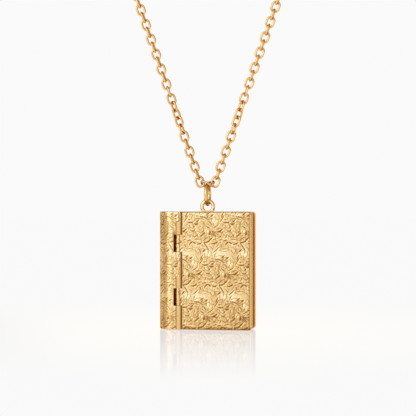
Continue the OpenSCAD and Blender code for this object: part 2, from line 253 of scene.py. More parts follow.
# Each row is a cut of the graver: its width, its depth from 0 to 1, and the points that it runs through
CUTS = (
    (2.0, 1.0, (189.6, 245), (191.5, 242.5), (193, 241.8)),
    (1.8, 0.9, (193, 241.8), (196, 243.8)),
    (1.9, 0.95, (197.5, 244.3), (200.5, 243.7), (202.5, 242.6)),
    (2.0, 1.0, (204.5, 242.8), (207.5, 242.2), (210, 240.8), (212.3, 238.5)),
    (1.6, 0.85, (204, 242.5), (206.5, 246), (208.5, 249), (209.5, 250.8)),
    (2.2, 1.0, (203, 252), (204.5, 250.5), (205.5, 249)),
    (1.2, 0.45, (202.5, 244.5), (203.2, 248.5)),
    (1.6, 0.5, (211, 246), (212.5, 248), (213, 250.5)),
    (1.8, 1.0, (214.2, 252.3), (217, 250), (219.5, 247.3)),
    (1.4, 0.8, (217.5, 252.7), (215.5, 254.5), (214.8, 257.5)),
    (1.9, 1.0, (212.3, 243.4), (214.5, 243.8), (217, 242.5), (218.2, 241.3)),
    (1.4, 0.55, (219.7, 243), (217.5, 246), (215.5, 248.5)),
    (1.8, 0.8, (203.8, 240.4), (206, 238.8), (208.2, 237)),
    (1.6, 0.8, (194.3, 240.4), (197, 239), (199, 239.2)),
    (1.6, 0.85, (194.8, 237.2), (197, 235.6), (199, 234)),
    (1.1, 0.5, (200, 237.5), (203, 237.2), (205, 236.5), (206.5, 235)),
    (2.0, 0.9, (203.2, 234.8), (205, 232.5)),
    (1.2, 0.6, (210, 236), (210.3, 238.5)),
    (1.2, 0.6, (210.5, 232), (212.5, 234.3), (215, 235.5), (217.5, 237)),
    (1.6, 0.8, (219.8, 238), (221, 236.5), (222, 235.2)),
    (1.2, 0.7, (213.5, 239.5), (216.5, 239.2)),
    (1.6, 0.85, (220, 240.3), (222.5, 239.3)),
    (1.8, 0.6, (220.4, 242.3), (221, 242.8)),
    (2.2, 0.65, (221.3, 244.8), (222, 246.8)),
    (1.2, 0.55, (220.3, 247), (220.5, 249.5), (222, 250.7), (224, 249.5), (226, 248.8), (229, 249)),
    (1.0, 0.45, (229.3, 246), (229.2, 249)),
    (1.8, 0.85, (187.6, 241), (190.8, 240)),
    (1.3, 0.5, (196.8, 251.8), (197.5, 249.5), (200.2, 249.2), (201.3, 251), (201.2, 254.5)),
    (1.0, 0.4, (195, 253.5), (197, 256.5), (198.5, 260)),
    (0.9, 0.4, (195.5, 253), (198, 254.3), (199.2, 255.8)),
    (1.8, 0.9, (203.3, 255), (201.8, 257.5), (200.8, 260)),
    (1.4, 0.5, (207.3, 256.8), (208.2, 258.5), (208.8, 261.5)),
    (1.8, 0.9, (222, 257.8), (225, 255.4)),
    (1.9, 0.95, (226.3, 259), (228.8, 257.1)),
    (0.9, 0.4, (216, 256.8), (219, 255.8), (221.5, 255)),
    (1.6, 0.95, (203.9, 257.8), (202.5, 260.5), (201, 262.8), (199.4, 264.6)),
    (1.6, 0.8, (204.2, 262.4), (205.6, 261.8)),
    (1.9, 1.0, (203, 264.6), (205.5, 265.3), (208.2, 264.6)),
    (1.3, 0.6, (207.7, 267), (207.9, 268.5)),
    (2.0, 0.95, (209, 270), (210, 268.8)),
    (2.1, 1.0, (209.8, 266.3), (211.5, 266.8), (213.8, 266.4)),
    (1.8, 0.85, (211.3, 264.9), (213.3, 263.8), (215, 262)),
    (1.6, 0.7, (210.7, 261.7), (213, 261.3), (216, 260.8), (219.3, 261.8)),
    (1.6, 0.9, (215.5, 259.3), (218, 259), (220.5, 260), (222.5, 261.2), (224.8, 262.5)),
    (1.3, 0.55, (211.5, 258.3), (214.5, 258.5)),
    (1.8, 0.85, (222.6, 259.2), (224, 258.9)),
    (1.7, 0.8, (226.7, 261.2), (227.9, 260.8)),
    (1.5, 0.75, (224, 264.2), (225.8, 265.3), (226.8, 267.2)),
    (1.4, 0.6, (223.2, 267.2), (223.8, 267.6)),
    (1.6, 0.9, (222, 268.7), (223.8, 270), (225.3, 270.8)),
    (1.5, 0.75, (219.3, 264), (220.2, 267), (219.9, 269.5), (218.8, 272)),
    (1.9, 0.6, (217, 266.3), (217.6, 266.9)),
    (1.1, 0.5, (213.8, 269.5), (215, 271.3), (215.8, 273.5)),
    (1.6, 0.85, (217.2, 275), (219, 273.8), (220.5, 272.3)),
    (1.8, 0.9, (215.5, 279.3), (217.5, 277.8), (219.8, 276.4)),
    (1.1, 0.5, (215, 277), (216.5, 275.2)),
    (1.9, 0.95, (206.5, 272.8), (208, 273.8), (209.8, 273.3), (210.8, 271.8)),
    (1.2, 0.75, (203, 269.8), (205, 271), (206.5, 272.5)),
    (1.3, 0.55, (201.3, 268.5), (203, 267), (203.5, 265.8)),
    (2.0, 0.95, (197, 274.6), (199.5, 273.8), (202.3, 271.6)),
    (1.5, 0.75, (195.5, 272.3), (198, 271.5), (200.3, 270.3)),
    (1.6, 0.85, (192.7, 270.5), (195, 269.3), (197.5, 267.5), (198.5, 266)),
    (0.9, 0.45, (191.5, 268.5), (193.5, 266.8), (195.5, 266)),
    (1.0, 0.4, (195.5, 260.5), (197.5, 262.5), (198, 264.5), (197.8, 267)),
    (1.6, 0.65, (201, 275.5), (203, 274.7)),
    (1.0, 0.4, (203.9, 272), (203.6, 274)),
    (1.3, 0.6, (191, 273.5), (194, 274.2), (196.5, 276.5), (199.5, 278.5), (202, 280)),
    (2.1, 0.95, (188.2, 277.5), (189.2, 276), (190, 274)),
    (1.5, 0.8, (204.3, 280.8), (205.8, 279), (206.2, 277)),
    (1.4, 0.6, (207.3, 275), (208.5, 276.5)),
    (1.3, 0.6, (208, 278), (210.3, 280.3), (211, 281)),
    (1.3, 0.65, (210.2, 274.5), (211.5, 276.8), (212.8, 279)),
    (1.7, 0.9, (188.3, 283), (190.3, 281.3), (192.3, 279.6)),
    (1.2, 0.7, (194.8, 277), (195, 280)),
    (1.2, 0.6, (186.5, 279.8), (189, 279)),
    (1.2, 0.55, (219, 280.5), (223, 280.2), (226, 279)),
)
# Each row is a leaf or petal left proud: x, y, the lean of its length, its length and its width
LEAVES = (
    (188.8, 233.6, 120, 4.6, 2), (192.9, 233, 95, 6.5, 2.2), (197.1, 234.1, 50, 7.2, 1.9),
    (199.1, 241.1, 10, 6, 2.6), (208.2, 240.5, 20, 7.2, 2.1), (206.9, 253.5, 75, 7.5, 2.7),
    (209.8, 254.8, 60, 7, 2.4), (219.3, 257.7, 25, 7.2, 2.8), (222.1, 261.3, -5, 10, 2.1),
    (224.9, 249.9, 5, 9, 2.3), (189.3, 258.8, 20, 7, 1.9), (193, 263.5, 65, 7.5, 2.5),
    (195.8, 264.8, 50, 7.5, 2.5), (202.7, 260.8, 60, 8.4, 2.1), (208.8, 261, 85, 7, 2.6),
    (206.8, 267.7, -60, 6.2, 3.2), (217.3, 268, 85, 8, 2.1), (220.2, 268, 80, 8, 2.1),
    (225.4, 266.3, -60, 5.2, 2.4), (197.1, 272.4, 20, 10, 2.3), (207.9, 272.4, -40, 6.6, 2.3),
    (211, 276.9, 120, 6.6, 2.1), (214.9, 277.5, 70, 5.4, 1.9), (219, 279.3, 25, 6, 1.9),
    (191, 275.8, -60, 6, 2.1), (199.3, 276.9, 45, 6, 2.1), (223.5, 274.2, 60, 5.4, 2.2),
    (212.1, 246.3, -60, 5.4, 2.1), (217, 244.7, 40, 5.2, 1.9), (197.7, 250.4, -70, 5.6, 3),
    (202.5, 247.3, 0, 5, 2.6), (204.5, 235.5, 35, 5, 2), (212.5, 234.5, -30, 5, 2.2),
    (218, 236.5, 45, 5, 2),
)
# Each row is a patch of painted light and shade, lighter for a strength above 0 and darker below it,
# which also
# lifts or sinks the relief a little: x, y, half width, half height, strength
PATCHES = (
    (188, 253, 6, 2.8, 1.0), (197, 247, 4.5, 2.5, 0.7), (194.5, 263, 3, 5.5, 0.9),
    (208.5, 254, 4.5, 3.5, 1.0), (219, 255, 2.3, 4, 0.9), (211, 244.5, 3, 2.5, 0.6),
    (215, 247, 2.5, 2, 0.5), (206, 271, 2.2, 6, 0.6), (213, 273, 1.8, 4, 0.7),
    (222, 275, 2.4, 4.5, 0.7), (227, 238, 2.5, 2.5, 0.7), (212, 281.5, 3, 1.8, 0.5),
    (224.2, 259, 3.5, 2.8, -1.1), (202, 252, 3.5, 2, -0.8), (191.5, 243, 1.9, 3, -0.9),
    (209, 241, 5, 2, -0.6), (216.5, 243, 2.5, 2, -0.8), (204.5, 234, 2, 2.5, -0.8),
    (214, 233.5, 3, 2, -0.7), (199.5, 274, 2.5, 2, -1.0), (191, 276.5, 3, 2.2, -0.9),
    (212.5, 265, 2, 4, -0.9), (218, 275, 1.5, 3, -0.5), (201, 259, 2, 5, -0.5),
    (207.5, 260.5, 1.8, 4, -0.4), (222, 247, 2, 3, -0.4),
)


def chart_place(x, z):
    """Pixels of the photograph for places on the case, moved into the charted repeat."""
    px, py = x / PIXEL_X + AXIS_PX, -z / PIXEL_Z + TOP_PX
    (ax, _), (bx, by) = REPEATS
    row = np.floor((py - CHART_MIDDLE[1]) / by + 0.5)
    px, py = px - row * bx, py - row * by
    return px - np.floor((px - CHART_MIDDLE[0]) / ax + 0.5) * ax, py


def near_repeats():
    """Shifts from the charted repeat to itself and its neighbours."""
    (ax, ay), (bx, by) = REPEATS
    return [(i * ax + j * bx, i * ay + j * by) for j in (-1, 0, 1) for i in (-2, -1, 0, 1, 2)]


def all_leaves():
    """The charted leaves, with small ones spread evenly between them and turned every way."""
    (ax, _), (bx, by) = REPEATS
    made = []
    for n in range(FILLERS):
        u, v = (n * SPREAD_U) % 1 - 0.5, (n * SPREAD_V) % 1 - 0.5
        place = (CHART_MIDDLE[0] + u * ax + v * bx, CHART_MIDDLE[1] + v * by)
        if abs(place[1] - PLAIN_ROW) > PLAIN_HALF:
            made.append((*place, n * FILLER_TURN % 180, *FILLER_SIZE, FILLER_RANK))
    return made + [(*leaf, 1.0) for leaf in LEAVES]


def carve_strokes(px, py):
    """The graver's strokes at pixels of the charted repeat, and the crest beside them."""
    cut, crest = np.zeros(px.shape), np.zeros(px.shape)
    for ox, oy in near_repeats():
        for width, depth, *points in CUTS:
            lengths = [math.dist(a, b) for a, b in zip(points, points[1:])]
            run = 0.0
            for a, b, length in zip(points, points[1:], lengths):
                cx, cy = (a[0] + b[0]) / 2 + ox, (a[1] + b[1]) / 2 + oy
                reach = length / 2 + CREST_REACH
                near = np.nonzero((abs(px - cx) < reach) & (abs(py - cy) < reach))
                if near[0].size:
                    qx, qy = px[near] - a[0] - ox, py[near] - a[1] - oy
                    dx, dy = b[0] - a[0], b[1] - a[1]
                    t = np.clip((qx * dx + qy * dy) / length ** 2, 0, 1)
                    away = np.hypot(qx - t * dx, qy - t * dy)
                    swell = np.sin(math.pi * (run + t * length) / sum(lengths))
                    half = width * (STROKE_END + STROKE_SWELL * swell)
                    groove = depth * np.clip(1 - (away / half) ** 2, 0, 1)
                    bank = depth * np.exp(-((away - half - CREST_AWAY) / CREST_HALF) ** 2)
                    cut[near] = np.maximum(cut[near], groove)
                    crest[near] = np.maximum(crest[near], bank)
                run += length
    return cut, crest


def carve_leaves(px, py):
    """The leaves at pixels of the charted repeat: smooth leaf, the cut round each, and its veins."""
    leaf, around, vein = (np.zeros(px.shape) for _ in range(3))
    leaves = all_leaves()
    for ox, oy in near_repeats():
        for x, y, lean, length, width, rank in leaves:
            reach = length * LEAF_REACH
            near = np.nonzero((abs(px - x - ox) < reach) & (abs(py - y - oy) < reach))
            if near[0].size:
                c, s = math.cos(math.radians(lean)), math.sin(math.radians(lean))
                qx, qy = px[near] - x - ox, py[near] - y - oy
                u, v = qx * c - qy * s, qx * s + qy * c
                edge = abs(2 * v / width) + (2 * u / length) ** 2
                body = np.clip((BODY_EDGE - edge) / BODY_FADE, 0, 1) * rank
                side = np.sin((u - VEIN_SLANT * abs(v)) * 2 * math.pi / VEIN_STEP)
                mid = np.exp(-(v / VEIN_HALF) ** 2)
                lines = np.maximum(MID_CUT * mid, SIDE_CUT * np.clip(side, 0, 1) * (1 - mid)) * body
                outline = np.exp(-((edge - AROUND_EDGE) / AROUND_HALF) ** 2) * AROUND_CUT * rank
                vein[near] = np.where(body > leaf[near], lines, vein[near])
                leaf[near] = np.maximum(leaf[near], body)
                around[near] = np.maximum(around[near], outline * (1 - leaf[near]))
    return leaf, around, vein


def engraving(x, z):
    """The engraving at x and z in millimetres, z from the locket's top: cut, crest beside the cuts, and
    smooth leaf, each from 0 to 1."""
    px, py = chart_place(x, z)
    cut, crest = carve_strokes(px, py)
    leaf, around, vein = carve_leaves(px, py)
    cut = np.maximum(cut, around)
    return np.maximum(cut, vein), crest * (1 - cut), leaf * (1 - cut)


def painted_light_patches(px, py):
    """Strength of the broad painted light and shade at pixels of the charted repeat, which also lifts
    the relief a little.
    """
    total = np.zeros(px.shape)
    for ox, oy in near_repeats():
        for x, y, wide, high, strength in PATCHES:
            total += strength * np.exp(-((px - x - ox) / wide) ** 2 - ((py - y - oy) / high) ** 2)
    return total


def surface_relief(x, z):
    """Height of the engraved surface in millimetres, and its tone: dark below 0, bright above. The tone
    holds the cuts' patina and painted shade, painted highlights on crests and leaves, painted shade on
    the ground, and patches of painted light and shade. It is lighter in the plain row, a painted sheen,
    and a little darker toward the lower right, a painted shade."""
    cut, crest, leaf = engraving(x, z)
    px, py = chart_place(x, z)
    row = py - PLAIN_ROW
    # Patches of painted light and shade, over low bumps in the relief
    patch = painted_light_patches(px, py)
    # Painted sheen: lighter in the plain row, darker between the rows
    broad = ROW_SHEEN_TONE * np.cos(row * 2 * math.pi / REPEATS[1][1])
    broad = broad + ROW_SHEEN_TONE * np.exp(-(row / PLAIN_HALF) ** 2)
    # Painted shade toward the lower right, with the patches' painted light and shade
    broad = broad - RIGHT_PAINTED_SHADE * (np.maximum(x, -5) - 2) + DOWN_PAINTED_SHADE * (z + 11) + PATCH_LIGHT_TONE * patch
    wave = np.sin(2.1 * x + 1.3 * z) * np.sin(1.7 * z - 0.9 * x)
    height = WAVE_HEIGHT * wave + CREST_HEIGHT * crest + LEAF_HEIGHT * leaf + PATCH_HEIGHT * patch
    height = height - CUT_DEPTH * cut
    # Painted highlight on crests and leaves, painted shade on the ground, and the cuts' patina and
    # painted shade
    ground = (1 - leaf) * (1 - crest) * (1 - cut)
    tone = HIGHLIGHT_TONE * crest + HIGHLIGHT_TONE * leaf * (1 - crest) - CUT_TONE * cut
    return height, tone - GROUND_SHADE_TONE * ground + broad * (1 - cut)


def toned_object(name, parts):
    """One object from several parts' points, faces and tones. It keeps the tone at each point, for the
    metal's cuts, with their patina and painted shade, and the painted highlights of its crests and
    leaves."""
    obj = new_object(name, *gathered([(verts, faces) for verts, faces, _ in parts]))
    layer = obj.data.attributes.new("tone", "FLOAT", "POINT")
    layer.data.foreach_set("value", np.concatenate([tone for _, _, tone in parts]).astype(np.float32))
    return obj


def rounded_net(x0, x1, z0, z1, r, us, vs):
    """A net over a rectangle whose corners at x1 are rounded, from shares us along x and vs along z."""
    gx, gz = np.meshgrid(x0 + us * (x1 - x0), z0 + vs * (z1 - z0), indexing="ij")
    for sign, edge in ((1, z1), (-1, z0)):
        a = gx - (x1 - r)
        b = sign * (gz - edge) + r
        inside = (a > 0) & (b > 0)
        m, length = np.maximum(a, b), np.hypot(a, b)
        scale = np.where(inside, m / np.maximum(length, 1e-9), 1.0)
        gx = np.where(inside, x1 - r + a * scale, gx)
        gz = np.where(inside, edge - sign * r + sign * b * scale, gz)
    return gx, gz


def rim_of(net):
    """The net's outer points in order."""
    return np.concatenate([net[:-1, 0], net[-1, :-1], net[:0:-1, -1], net[0, :0:-1]])


def make_cover():
    """The front board: an engraved face, rolled edges, a rim, and a plain inside."""
    nx, nz = int((FORE_X - COVER_X) / FACE_STEP), int((TOP_Z - BOTTOM_Z) / FACE_STEP)
    us, vs = np.linspace(0, 1, nx), np.linspace(0, 1, nz)
    # Bevel of the rim's edges, and the least rounding of a corner
    lip = 0.06
    least_r = 0.12
    # The line along the border: half its width, its depth, and its dark tone, a painted shade, which the
    # low band has too
    line_half = 0.07
    line_depth = 0.04
    dark = 1.2
    # Share of the engraving's tone that the low band takes away
    low_share = 0.6

    def net(inset):
        """The board's outline drawn in by inset. The rolled edge at the seam is narrower."""
        left = min(inset, SEAM_ROLL) if inset <= EDGE_ROLL else inset
        corner = max(CORNER_R - inset, least_r)
        return rounded_net(COVER_X + left, FORE_X - inset, BOTTOM_Z + inset, TOP_Z - inset,
                           corner, us, vs)

    gx, gz = net(EDGE_ROLL)
    height, tone = surface_relief(gx, gz - TOP_Z)
    sides = [gx - COVER_X - SEAM_ROLL, FORE_X - BORDER - gx]
    ends = [gz - BOTTOM_Z - EDGE_ROLL, TOP_Z - EDGE_ROLL - gz]
    fade = np.clip(np.minimum.reduce(sides + ends) / FADE, 0, 1)
    line = np.exp(-((FORE_X - BORDER - gx) / line_half) ** 2)
    # The low band along the bottom is painted darker, a painted shade
    low = np.clip(1 - (gz - BOTTOM_Z) / LOW_BAND, 0, 1)
    height = height * fade - line_depth * line
    tone = tone * fade * (1 - low_share * low) - dark * line - dark * low
    verts = [np.stack([gx, FRONT_Y - height, gz], -1).reshape(-1, 3)]
    faces = grid_faces(nx, nz)
    last = rim_of(np.arange(nx * nz).reshape(nx, nz))
    count = nx * nz

    rolled = [(EDGE_ROLL * (1 - math.sin(a)), EDGE_ROLL * (1 - math.cos(a))) for a in ROLL_ANGLES]
    outside = [(0, COVER_DEPTH - lip), (lip, COVER_DEPTH)]
    inside = [(SHEET - lip, COVER_DEPTH), (SHEET, COVER_DEPTH - lip)]
    floor = [(SHEET, SHEET + lip), (SHEET + lip, SHEET)]
    for inset, depth in rolled + outside + inside + floor:
        lx, lz = net(inset)
        n = len(last)
        verts.append(np.stack([rim_of(lx), np.full(n, FRONT_Y + depth), rim_of(lz)], -1))
        now = np.arange(count, count + n)
        faces += [(last[i], now[i], now[(i + 1) % n], last[(i + 1) % n]) for i in range(n)]
        last = now
        count += n
    faces.append(tuple(last))
    return np.concatenate(verts), faces, np.concatenate([tone.ravel(), np.zeros(count - nx * nz)])


def make_tab(z_mid):
    """One of the cover's rolled knuckles with its strip of metal, on the hinge pin."""
    z0, z1 = MID_Z + z_mid - TAB_H / 2, MID_Z + z_mid + TAB_H / 2
    nz = int(TAB_H / SKIN_STEP)
    zs = np.linspace(z0, z1, nz)
    # The ends are rounded over this length, and drop by this much
    end_length, end_drop = 0.15, 0.05
    # The metal is rolled between these turns in degrees, and goes on this far right of the roll
    turn_from, turn_to, strip_gap = -6, -267, 0.02
    end = np.clip(np.minimum(zs - z0, z1 - zs) / end_length, 0, 1)
    dome = -end_drop * (1 - end) ** 2
    flat = [(u, -KNUCKLE_R) for u in np.linspace(SEAM_X + EDGE_ROLL, 0, TAB_FLAT)]
    angles = np.radians(np.linspace(turn_from, turn_to, TAB_ROUND))
    turn = [(KNUCKLE_R * math.sin(a), -KNUCKLE_R * math.cos(a)) for a in angles]
    under = [(u, SHEET - KNUCKLE_R) for u in (KNUCKLE_R + strip_gap, SEAM_X + EDGE_ROLL)]
    outline = flat + turn + under
    # The engraving runs on over the first points of the turn, spread at this many degrees a point
    engraved, turn_step = len(flat) + 14, 7
    verts, tones = [], []
    for k, (u, v) in enumerate(outline):
        if k < len(flat):
            spread, normal = u, (0, -1)
            line = math.exp(-((u - TAB_LINE) / LINE_HALF) ** 2)
        else:
            spread = -KNUCKLE_R * math.radians(turn_step * (k - len(flat) + 1))
            normal = (u / math.hypot(u, v), v / math.hypot(u, v))
            line = 0
        height, tone = np.zeros(nz), np.zeros(nz)
        if k < engraved:
            height, tone = surface_relief(np.full(nz, PIN_X + spread), zs - TOP_Z)
        out = height * end - LINE_DEPTH * line + dome
        verts.append(np.stack([PIN_X + u + normal[0] * out, PIN_Y + v + normal[1] * out, zs], -1))
        tones.append(tone * end * (1 - line) - LINE_TONE * line)
    rows = len(outline)
    faces = [(a, d, c, b) for a, b, c, d in grid_faces(rows, nz, close_rows=True)]
    faces.append(tuple(i * nz for i in range(rows)))
    faces.append(tuple(i * nz + nz - 1 for i in reversed(range(rows))))
    return np.concatenate(verts), faces, np.concatenate(tones)


def spine_path():
    """The spine's skin seen from above, from the seam's groove over the knuckles and round to the back.
    Each row is a point of it: x, y, the normal's x and y, and x if the skin were spread flat."""
    path = []
    for x, y in GROOVE_FLOOR:
        path.append((PIN_X + x, FRONT_Y + y, 0, -1, PIN_X + 1))
    for x, y in GROOVE_WALL:
        path.append((PIN_X + x, FRONT_Y + y, 1, 0, PIN_X + 1))
    for a in np.radians((75, 60, 45, 30, 15)):
        x, y = PIN_X + GROOVE_X + GROOVE_R * math.sin(a), FRONT_Y + GROOVE_R - GROOVE_R * math.cos(a)
        path.append((x, y, math.sin(a), -math.cos(a), PIN_X + GROOVE_X + GROOVE_R * a))
    for x in np.linspace(PIN_X + GROOVE_X, SPINE_X, SPINE_FLAT):
        path.append((x, FRONT_Y, 0, -1, x))
    for a in np.radians(np.linspace(1.4, 180, SPINE_ROUND)):
        x, y = SPINE_X - SPINE_R * math.sin(a), -SPINE_R * math.cos(a)
        path.append((x, y, -math.sin(a), -math.cos(a), SPINE_X - SPINE_R * a))
    return np.array(path)


def slot_ends():
    """The lower and upper end of each of the skin's openings, where the cover's knuckles turn."""
    return [(MID_Z + z - TAB_H / 2 - KNUCKLE_GAP, MID_Z + z + TAB_H / 2 + KNUCKLE_GAP) for z in TAB_Z]


def in_slot(x, y, z):
    """Whether a face of the skin with its corner at this place lies in an opening."""
    side_edge = 0.02
    past_side = x > PIN_X - SLOT_X + side_edge and y < 0
    return past_side and any(z0 < z < z1 - SKIN_STEP for z0, z1 in slot_ends())


def leafy(depth):
    """Whether leaves run over the hinge's plain strip at a depth below the locket's top."""
    return (depth > LEAFY_FROM) & (depth < LEAFY_TO)


def plain_strip(spread, depth):
    """The hinge's plain strip beside the seam, from 0 off it to 1 on it."""
    ease = 0.04
    engraved = (depth < PLATE_DEPTH) | leafy(depth)
    return np.clip((spread - STRIP_X) / ease, 0, 1) * np.where(engraved, 0, 1)


def hinge_lines(spread, depth):
    """The thin lines at the hinge, from 0 to 1: along the strip's left edge, fainter where leaves run
    over it, down the plate above the strip, and along the plate's lower end."""
    faint = 0.4
    left = np.exp(-((spread - STRIP_X) / LINE_HALF) ** 2) * (depth > PLATE_DEPTH)
    left = left * np.where(leafy(depth), faint, 1)
    plate = np.exp(-((spread - PIN_X - PLATE_LINE) / LINE_HALF) ** 2) * (depth < PLATE_DEPTH)
    under = np.exp(-((depth - PLATE_DEPTH) / LINE_HALF) ** 2)
    under = under * (spread > STRIP_X) * (spread < PIN_X + PLATE_END)
    return np.maximum.reduce([left, plate, under])


def spine_end(path, lift, end_z, side):
    """Three rows of points that round the skin in to the spine's top, side 1, or bottom, side -1. The
    last one lies within the solid spine's outline and a little past its end."""
    drop, least, past = 0.17, -0.12, 0.012
    rows = []
    for a in ROLL_ANGLES:
        out = np.maximum(lift - drop * (1 - math.cos(a)), least)
        z = end_z - side * SPINE_ROLL * (1 - math.sin(a)) + side * past
        rows.append(np.stack([path[:, 0] + path[:, 2] * out, path[:, 1] + path[:, 3] * out,
                              np.full(len(path), z)], -1))
    return rows


def make_spine():
    """The engraved skin of the half-round spine, with openings where the cover's knuckles turn."""
    path = spine_path()
    x, y, nx, ny = (path[:, k, None] for k in range(4))
    zs = np.linspace(BOTTOM_Z + SPINE_ROLL, TOP_Z - SPINE_ROLL, int((TOP_Z - BOTTOM_Z) / SKIN_STEP))
    spread, gz = np.meshgrid(path[:, 4], zs, indexing="ij")
    height, tone = surface_relief(spread, gz - TOP_Z)

    # The shares of the engraving's height and tone that the plain strip takes away
    height_share, tone_share = 0.9, 0.85
    strip = plain_strip(spread, TOP_Z - gz)
    line = hinge_lines(spread, TOP_Z - gz) * (y < 0)
    calm = graph(SPINE_CALM, SPINE_X - spread)
    height = height * (1 - height_share * strip) * calm - LINE_DEPTH * line
    tone = tone * (1 - tone_share * strip) * calm + graph(SPINE_PAINTED_LIGHT, SPINE_X - spread)
    tone = tone * (1 - line) - LINE_TONE * line

    # The groove gets painted shade over this width, by this much at its edge and by this much more on
    # its floor
    groove_fade, edge_dark, more_dark = 0.1, 0.75, 0.25
    groove = np.clip((x - PIN_X - GROOVE_TONE_X) / groove_fade, 0, 1) * (y < 0)
    deep = np.clip((y - FRONT_Y) / GROOVE_R, 0, 1)
    tone = tone * (1 - groove) - (edge_dark + more_dark * deep) * groove
    back = np.clip(y - BACK_Y, 0, 1) / BACK_FADE
    base = np.where(y > 0, SKIN_OFF, graph(SKIN_LIFT, x - PIN_X)) * (1 - back) - BACK_DEPTH * back
    lift = base + height * (1 - groove) * (1 - back)

    # The skin rounds in at the openings
    sunk, ease = -0.03, 0.1
    for z0, z1 in slot_ends():
        edge = np.maximum(np.maximum(z0 - gz, gz - z1), PIN_X - SLOT_X - x)
        edge = np.where(y > 0, 1.0, edge)
        lift = np.where(edge < ease, sunk + (lift - sunk) * np.clip(edge / ease, 0, 1) ** 0.5, lift)

    net = np.stack([x + nx * lift, y + ny * lift, gz], -1)
    low = spine_end(path, lift[:, 0], BOTTOM_Z, -1)[::-1]
    high = spine_end(path, lift[:, -1], TOP_Z, 1)
    whole = np.concatenate([np.stack(low, 1), net, np.stack(high, 1)], 1)
    tone = np.pad(tone, ((0, 0), (len(low), len(high))))
    rows, cols = whole.shape[:2]
    faces = []
    for face in grid_faces(rows, cols):
        i, j = divmod(face[0], cols)
        if not in_slot(path[i, 0], path[i, 1], whole[i, j, 2]):
            faces.append(face)
    return whole.reshape(-1, 3), faces, tone.ravel()


def link_shape(wire, around, sides):
    """Points and faces of one oval link, its length along x and its width along z."""
    bend = (LINK_W - wire) / 2
    half = (LINK_L - LINK_W) / 2
    quarter = around // 2
    angles = np.concatenate([np.linspace(-90, 90, quarter), np.linspace(90, 270, quarter)])
    verts = []
    for k, a in enumerate(np.radians(angles)):
        side = half if k < quarter else -half
        c, s = math.cos(a), math.sin(a)
        for b in np.arange(sides) * 2 * math.pi / sides:
            r = bend + wire / 2 * math.cos(b)
            verts.append((side + r * c, wire / 2 * math.sin(b), r * s))
    return np.array(verts), grid_faces(2 * quarter, sides, close_rows=True, close_cols=True)


def turned(axis, angle):
    """A turn about an axis, as a matrix."""
    return np.array(Matrix.Rotation(angle, 3, axis))


def link_turn(k):
    """Turn of a strand's link k about its own length."""
    extra = min(1, max(0, (k - TWIST_FROM) / (TWIST_TO - TWIST_FROM)))
    return math.radians(90 * (k - 1) + 90 * extra)


def route():
    """Middle line of the chain's hidden stretch on the right, x and z, from the last front link to the
    clasp. It is a smooth curve through the route's points."""
    up = np.array([math.sin(STRAND_LEAN), 0, math.cos(STRAND_LEAN)])
    last = FIRST_LINK + up * (FRONT_LINKS - 1) * PITCH
    points = np.vstack([BACK_ROUTE, [last[0], last[2] + RING_Z]])[::-1]
    dense = []
    for i in range(len(points) - 1):
        p0, p1, p2, p3 = (points[min(max(i + k, 0), len(points) - 1)] for k in (-1, 0, 1, 2))
        for t in np.linspace(0, 1, ROUTE_STEPS, endpoint=False):
            dense.append(0.5 * (2 * p1 + (p2 - p0) * t + (2 * p0 - 5 * p1 + 4 * p2 - p3) * t * t
                                + (3 * p1 - p0 - 3 * p2 + p3) * t ** 3))
    dense.append(points[-1])
    return np.array(dense)


def front_places():
    """Rotation and place of the right strand's front links, the end link first."""
    end = turned("Y", -END_RISE) @ turned("Z", END_YAW) @ turned("X", -END_TURN)
    places = [(end, END_LINK + (0, 0, RING_Z))]
    for k in range(1, FRONT_LINKS + 1):
        d = (k - 1) * PITCH
        at = (FIRST_LINK[0] + d * math.sin(STRAND_LEAN), FIRST_LINK[1] * (1 - d / STRAND_FADE),
              FIRST_LINK[2] + d * math.cos(STRAND_LEAN) + RING_Z)
        rotation = turned("Y", STRAND_LEAN - math.pi / 2) @ turned("X", -link_turn(k))
        places.append((rotation, np.array(at)))
    return places


def back_places():
    """Rotation and place of the right strand's hidden links, up to the clasp's end loop. Their number
    makes the last one stand across the loop, and their pitch is set to fit."""
    line = route()
    steps = np.r_[0, np.cumsum(np.linalg.norm(np.diff(line, axis=0), axis=1))]
    # Half the stretch over which a link's lean is taken
    lean_span = 0.4
    # The last link's middle stands this far off the clasp, and is sought where x grows from the clasp on
    off_clasp = 0.23
    rising = slice(0, 10 * ROUTE_STEPS)
    total = np.interp(clasp_high[0] + off_clasp, line[::-1, 0][rising], steps[::-1][rising])
    count = round(total / PITCH)
    if (FRONT_LINKS + count) % 2 == 0:
        count -= 1
    depth = FIRST_LINK[1] * (1 - (FRONT_LINKS - 1) * PITCH / STRAND_FADE)
    places = []
    for k in range(1, count + 1):
        s = k * (total / count)
        near = (s - lean_span, s, s + lean_span)
        (x1, x, x2), (z1, z, z2) = (np.interp(near, steps, line[:, axis]) for axis in (0, 1))
        rise = math.atan2(z2 - z1, x2 - x1)
        y = depth * max(0, 1 - s / (STRAND_FADE - FRONT_LINKS * PITCH))
        rotation = turned("Y", -rise) @ turned("X", -link_turn(FRONT_LINKS + k))
        places.append((rotation, np.array((x, y, z))))
    return places


def make_links(name, places, around, sides, thin=0):
    """A stretch of chain, both strands: the left is the right one turned half round. The first links of
    a strand, thin in number, have thinner wire, because they cross in the jump ring."""
    shape, faces = link_shape(LINK_WIRE, around, sides)
    end_shape = link_shape(END_WIRE, around, sides)[0]
    parts = []
    for half_turn in (1, -1):
        for k, (rotation, place) in enumerate(places):
            points = (end_shape if k < thin else shape) @ rotation.T + place
            parts.append((points * (half_turn, half_turn, 1), faces))
    return new_object(name, *gathered(parts))


